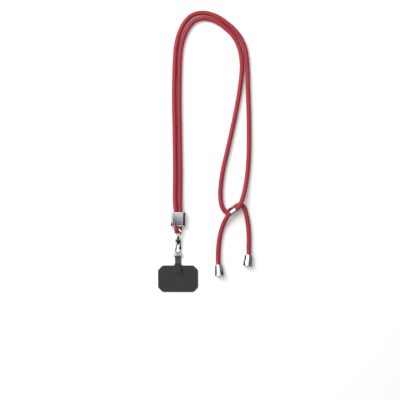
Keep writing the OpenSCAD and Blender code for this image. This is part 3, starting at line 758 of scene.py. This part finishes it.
# --- The webbing tab ---------------------------------------------------------------------
# One strip of black polyester webbing, 8.1 mm wide, folded round the ring's bar so that its two plies
# lie together, sewn across below the ring. Its ends are bonded inside the patch.
TAB_W, TAB_T = 8.1 * MM, 0.7 * MM
PLY_Z, LAYER_T = 0.5 * MM, 0.5 * MM
LOOP_R = RING_WIRE / 2 + 0.2 * MM
PATCH_W, PATCH_L = 54.7 * MM, 36.3 * MM
TAB_END = PATCH_L / 2 - 9.15 * MM
middle_r = LOOP_R + TAB_T / 2
low, high = PLY_Z + TAB_T / 2, PLY_Z + 1.5 * TAB_T
wrap = np.radians(np.linspace(-90, 135, 46))
round_bar = np.column_stack([BAR_Y + middle_r * np.cos(wrap), BAR_Z + middle_r * np.sin(wrap)])
knee = round_bar[-1, 0] - (round_bar[-1, 1] - high)
lower_ply = rounded_line([[TAB_END, low], [BAR_Y - 2.5 * MM, low], [BAR_Y, low]], 0.3 * MM)[:-1]
upper_ply = rounded_line([round_bar[-1], [knee, high], [TAB_END, high]], 0.9 * MM)[1:]
side_view = np.vstack([lower_ply, round_bar, upper_ply])
strap, strap_run = evenly(np.column_stack([side_view, np.zeros(len(side_view))]), 0.13 * MM)
strap = strap[:, :2]
heading = unit(np.gradient(strap, axis=0))
left_of = np.column_stack([-heading[:, 1], heading[:, 0]])
RIB, END_W = 0.62 * MM, 0.54 * MM


def rib_height(x, s):
    """Plain ribbed weave: rows of short floats, each row half a float out of step with the next."""
    row = np.floor(s / RIB)
    float_bump = np.abs(np.sin(np.pi * (x / END_W + 0.5 * np.mod(row, 2))))
    return np.abs(np.sin(np.pi * s / RIB)) ** 0.7 * (0.35 + 0.65 * float_bump**0.8)


half_x = np.concatenate([np.linspace(0, 0.97, 29), [0.985, 0.995, 1.0]]) * TAB_W / 2
tape_x = np.concatenate([-half_x[:0:-1], half_x])
# the strip is flat with round edges, and a little thicker along the selvedge, half a millimetre in
thick = TAB_T / 2 * np.sqrt(1 - np.abs(tape_x / (TAB_W / 2)) ** 16)
selvedge = np.abs(tape_x) - TAB_W / 2 + 0.5 * MM
thick = thick * (1 + 0.07 * np.exp(-(selvedge / (0.3 * MM)) ** 2))
RIB_DEPTH = 0.07 * MM
weave = RIB_DEPTH * (rib_height(tape_x[None], strap_run[:, None]) - 1) * (thick / thick.max())[None]
columns = np.concatenate([tape_x, tape_x[-2:0:-1]])
off = np.concatenate([thick[None] + weave, -(thick[None] + weave)[:, -2:0:-1]], axis=1)
skin = np.stack([np.broadcast_to(columns[None], off.shape),
                 strap[:, :1] + left_of[:, :1] * off, strap[:, 1:] + left_of[:, 1:] * off], axis=-1)
around = np.concatenate([columns, columns[:1]]) / END_W
webbing = grid_piece("webbing_tab", skin, around, strap_run / RIB)


def humps(tree, count):
    """A row of humps, one to each whole number: the size of the sine of pi times the count."""
    return calc(tree, "ABSOLUTE", calc(tree, "SINE", calc(tree, "MULTIPLY", count, math.pi)))


# the same weave as a pattern, with the fine threads along each float
weaving, given, result = group("weaving", {"Place": "Vector"}, ("Height", "Thread"))
place = node(weaving, "ShaderNodeSeparateXYZ", Vector=given["Place"]).outputs
odd_row = calc(weaving, "FLOORED_MODULO", calc(weaving, "FLOOR", place["Y"]), 2)
beat = humps(weaving, calc(weaving, "MULTIPLY_ADD", odd_row, 0.5, place["X"]))
row = calc(weaving, "POWER", humps(weaving, place["Y"]), 0.7)
height = calc(weaving, "MULTIPLY", row, calc(weaving, "MULTIPLY_ADD", beat, 0.65, 0.35))
weaving.links.new(height, result["Height"])
thread = calc(weaving, "SINE", calc(weaving, "MULTIPLY", place["X"], 12 * math.pi))
weaving.links.new(calc(weaving, "MULTIPLY_ADD", thread, 0.5, 0.5), result["Thread"])

black_webbing, tree, out = new_material("black_webbing")
threads = use(tree, weaving, Place=node(tree, "ShaderNodeUVMap", uv_map="lay").outputs["UV"])
where = node(tree, "ShaderNodeTexCoord").outputs["Object"]
fade = node(tree, "ShaderNodeTexNoise", Vector=where, Scale=160, Detail=3).outputs["Fac"]
shade = calc(tree, "MULTIPLY_ADD", fade, 0.4, calc(tree, "MULTIPLY", threads["Thread"], 0.1))
# the colour darkens where the weave dips, which is painted shade in its hollows; the patches and
# threads are the dye's own
tone_and_hollow_shade = calc(tree, "MULTIPLY_ADD", threads["Height"], 0.7, shade)
dye_and_hollow_shade = ramp(tree, tone_and_hollow_shade, (0.15, (0.012, 0.012, 0.013)), (1.0, (0.075, 0.075, 0.078)))
relief = calc(tree, "MULTIPLY_ADD", threads["Thread"], 0.2, threads["Height"])
bump = node(tree, "ShaderNodeBump", Height=relief, Strength=0.6, Distance=0.05 * MM)
cloth = node(tree, "ShaderNodeBsdfPrincipled", Base_Color=dye_and_hollow_shade, Roughness=0.65, Normal=bump.outputs[0],
             Sheen_Weight=0.3, Sheen_Roughness=0.45)
tree.links.new(cloth.outputs[0], out.inputs["Surface"])
finish(webbing, black_webbing, "patch", "webbing", "tab_webbing")

# The five stitches are bonded polyester thread, each pulled down into the webbing at both ends.
THREAD_R, STITCH_L, STITCHES = 0.2 * MM, 0.7 * MM, 5
stitch_y = BAR_Y - 3.1 * MM


def one_piece(name, parts):
    """Joins the meshes of several parts into one piece and removes the parts."""
    work = bmesh.new()
    for part in parts:
        work.from_mesh(part.data)
        bpy.data.objects.remove(part)
    mesh = bpy.data.meshes.new(name)
    work.to_mesh(mesh)
    work.free()
    piece = bpy.data.objects.new(name, mesh)
    scene.collection.objects.link(piece)
    return piece


# one stitch goes round both plies: a rounded box of thread, drawn square by the power of its curve
turn = np.linspace(0, 2 * math.pi, 48, endpoint=False)
box_x = STITCH_L / 2 * np.sign(np.cos(turn)) * np.abs(np.cos(turn)) ** 0.5
box_z = (TAB_T + THREAD_R / 2) * np.sign(np.sin(turn)) * np.abs(np.sin(turn)) ** 0.5
stitches = []
for k in range(STITCHES):
    middle = (k - (STITCHES - 1) / 2) * TAB_W / (STITCHES + 1)
    path = np.column_stack([middle + box_x, np.full(len(turn), stitch_y), PLY_Z + TAB_T + box_z])
    stitches.append(wire("stitch", path, THREAD_R, (0, 1, 0), 12, closed=True))
stitching = one_piece("tab_thread", stitches)

black_thread, tree, out = new_material("black_thread")
where = node(tree, "ShaderNodeTexCoord").outputs["Object"]
lay = node(tree, "ShaderNodeMapping", Vector=where, Rotation=(0, 0, math.radians(40)),
           Scale=(9000, 900, 900))
ply = node(tree, "ShaderNodeTexNoise", Vector=lay.outputs[0], Scale=1, Detail=1).outputs["Fac"]
bump = node(tree, "ShaderNodeBump", Height=ply, Strength=0.6, Distance=0.03 * MM)
# the same noise gives the plies' bump and their colour, so the dips between the plies get painted shade
cloth = node(tree, "ShaderNodeBsdfPrincipled", Roughness=0.5, Sheen_Weight=0.2,
             Base_Color=ramp(tree, ply, (0.35, (0.02, 0.02, 0.021)), (0.65, (0.06, 0.06, 0.062))),
             Normal=bump.outputs[0])
tree.links.new(cloth.outputs[0], out.inputs["Surface"])
finish(stitching, black_thread, "patch", "thread", "tab_stitching")

# --- The patch ---------------------------------------------------------------------------
# Two layers of coated black nylon, heat-bonded face to face with the webbing's ends between them. It
# goes inside a case, with its neck out of the opening. Its face is bare, and its cut edge is fuzzy.
CORNER_CUT, NECK_FILLET, NECK_BEVEL = 6.3 * MM, 2 * MM, 0.8 * MM
NECK_HALF = TAB_W / 2 + 0.5 * MM
NECK_Y = PATCH_L / 2 + 2.85 * MM
COVER_Z = PLY_Z + 2 * TAB_T + LAYER_T
EDGE_ROUND, CORNER_ROUND = 0.2 * MM, 1.8 * MM
HALF_W, HALF_L = PATCH_W / 2, PATCH_L / 2
cut_x, cut_y = HALF_W - CORNER_CUT, HALF_L - CORNER_CUT
cut_corners = rounded_line([
    [cut_x - CORNER_CUT, -HALF_L], [cut_x, -HALF_L], [HALF_W, -cut_y], [HALF_W, cut_y], [cut_x, HALF_L],
    [cut_x - CORNER_CUT, HALF_L]], CORNER_ROUND)[2:-1]
fillet = np.linspace(0, math.pi / 2, 8)
neck_side = np.column_stack([NECK_HALF + NECK_FILLET * (1 - np.sin(fillet)),
                             HALF_L + NECK_FILLET * (1 - np.cos(fillet))])
edge = np.vstack([cut_corners, neck_side, [[NECK_HALF, NECK_Y]]])
run = np.concatenate([[0], np.cumsum(np.linalg.norm(np.diff(edge, axis=0), axis=1))])
lips = np.array([0.02, 0.06, 0.12, 0.2, 0.3]) * MM
at = np.unique(np.concatenate([run, np.arange(0, run[-1], 0.5 * MM), lips, run[-1] - lips]))
half_width, row_y = np.interp(at, run, edge[:, 0]), np.interp(at, run, edge[:, 1])
near_edge = np.concatenate([[0], lips])
inside = np.linspace(1, 0, 56)[1:]
inner_x = inside * (half_width[:, None] - lips[-1])
half_x = np.concatenate([half_width[:, None] - near_edge, inner_x], axis=1)
face_x = np.concatenate([-half_x, half_x[:, -2::-1]], axis=1)
face_y = np.broadcast_to(row_y[:, None], face_x.shape)
from_side = half_width[:, None] - np.abs(face_x)
from_end = np.minimum(row_y + HALF_L, NECK_Y - row_y)[:, None]
from_top = np.where(np.abs(face_x) > NECK_HALF + NECK_FILLET, np.maximum(HALF_L - row_y, 0)[:, None], 1)
rim = np.minimum(np.minimum(from_side, from_end), from_top)
drop = EDGE_ROUND - np.sqrt(np.maximum(EDGE_ROUND**2 - np.maximum(EDGE_ROUND - rim, 0) ** 2, 0))


def step_up(value, start, end):
    """0 below start and 1 above end, with a smooth rise between."""
    share = np.clip((value - start) / (end - start), 0, 1)
    return share * share * (3 - 2 * share)


def layer(name, bottom, top):
    """One layer of the patch: a closed surface between two heights, with its rim rounded."""
    upper, lower = top - drop, bottom + drop
    skin = np.concatenate([np.stack([face_x, face_y, upper], axis=-1),
                           np.stack([face_x, face_y, lower], axis=-1)[:, -2:0:-1]], axis=1)
    rims = np.concatenate([rim, rim[:, -2:0:-1]], axis=1)
    return grid_piece(name, skin, marks={"rim": np.exp(-rims / (0.35 * MM))})


# over the webbing's ends the front layer is drawn down to the back one, steeply at the neck's sides
# and in a long slope inside the patch
SLOPE_L, SLOPE_W, SLOPE_START = 4 * MM, 2.4 * MM, 5 * MM
spread = SLOPE_W * (1 - step_up(face_y, HALF_L - SLOPE_START, HALF_L))
cover = step_up(face_y, TAB_END - SLOPE_L, TAB_END)
cover = cover * step_up(-np.abs(face_x), -NECK_HALF - spread, NECK_BEVEL - NECK_HALF)
flat_layer = np.zeros_like(face_x)
front_top = 2 * LAYER_T + (COVER_Z - 2 * LAYER_T) * cover
patch_back = layer("patch_back_layer", flat_layer, flat_layer + LAYER_T)
patch_front = layer("patch_front_layer", flat_layer + LAYER_T, front_top)

black_nylon, tree, out = new_material("black_nylon")
where = node(tree, "ShaderNodeTexCoord").outputs["Object"]
count = node(tree, "ShaderNodeMapping", Vector=where, Scale=(2600, 2600, 2600)).outputs[0]
threads = use(tree, weaving, Place=count)
grain = node(tree, "ShaderNodeTexNoise", Vector=where, Scale=1500, Detail=3).outputs["Fac"]
cloud = node(tree, "ShaderNodeTexNoise", Vector=where, Scale=55, Detail=4, Roughness=0.6).outputs["Fac"]
fuzzy = node(tree, "ShaderNodeAttribute", attribute_name="rim").outputs["Fac"]
shade = calc(tree, "MULTIPLY_ADD", cloud, 0.5, calc(tree, "MULTIPLY", fuzzy, 0.5))
# the colour darkens a little where the weave dips, which is painted shade in its hollows; the clouds
# and the lighter fuzzy rim are the cloth's own
tone_and_hollow_shade = calc(tree, "MULTIPLY_ADD", threads["Height"], 0.3, shade)
dye_and_hollow_shade = ramp(tree, tone_and_hollow_shade, (0.2, (0.006, 0.006, 0.0063)), (1.0, (0.022, 0.022, 0.0225)))
rough = calc(tree, "MULTIPLY_ADD", fuzzy, 0.25, weigh(tree, cloud, 0.42, 0.6))
height = calc(tree, "MULTIPLY_ADD", threads["Height"], 0.7, calc(tree, "MULTIPLY", grain, 0.5))
bump = node(tree, "ShaderNodeBump", Height=height, Strength=0.5, Distance=0.03 * MM)
cloth = node(tree, "ShaderNodeBsdfPrincipled", Base_Color=dye_and_hollow_shade, Roughness=rough, Normal=bump.outputs[0],
             Sheen_Weight=0.15, Sheen_Roughness=0.4)
tree.links.new(cloth.outputs[0], out.inputs["Surface"])
finish(patch_back, black_nylon, "patch", "patch", "patch_back")
finish(patch_front, black_nylon, "patch", "patch", "patch_front")
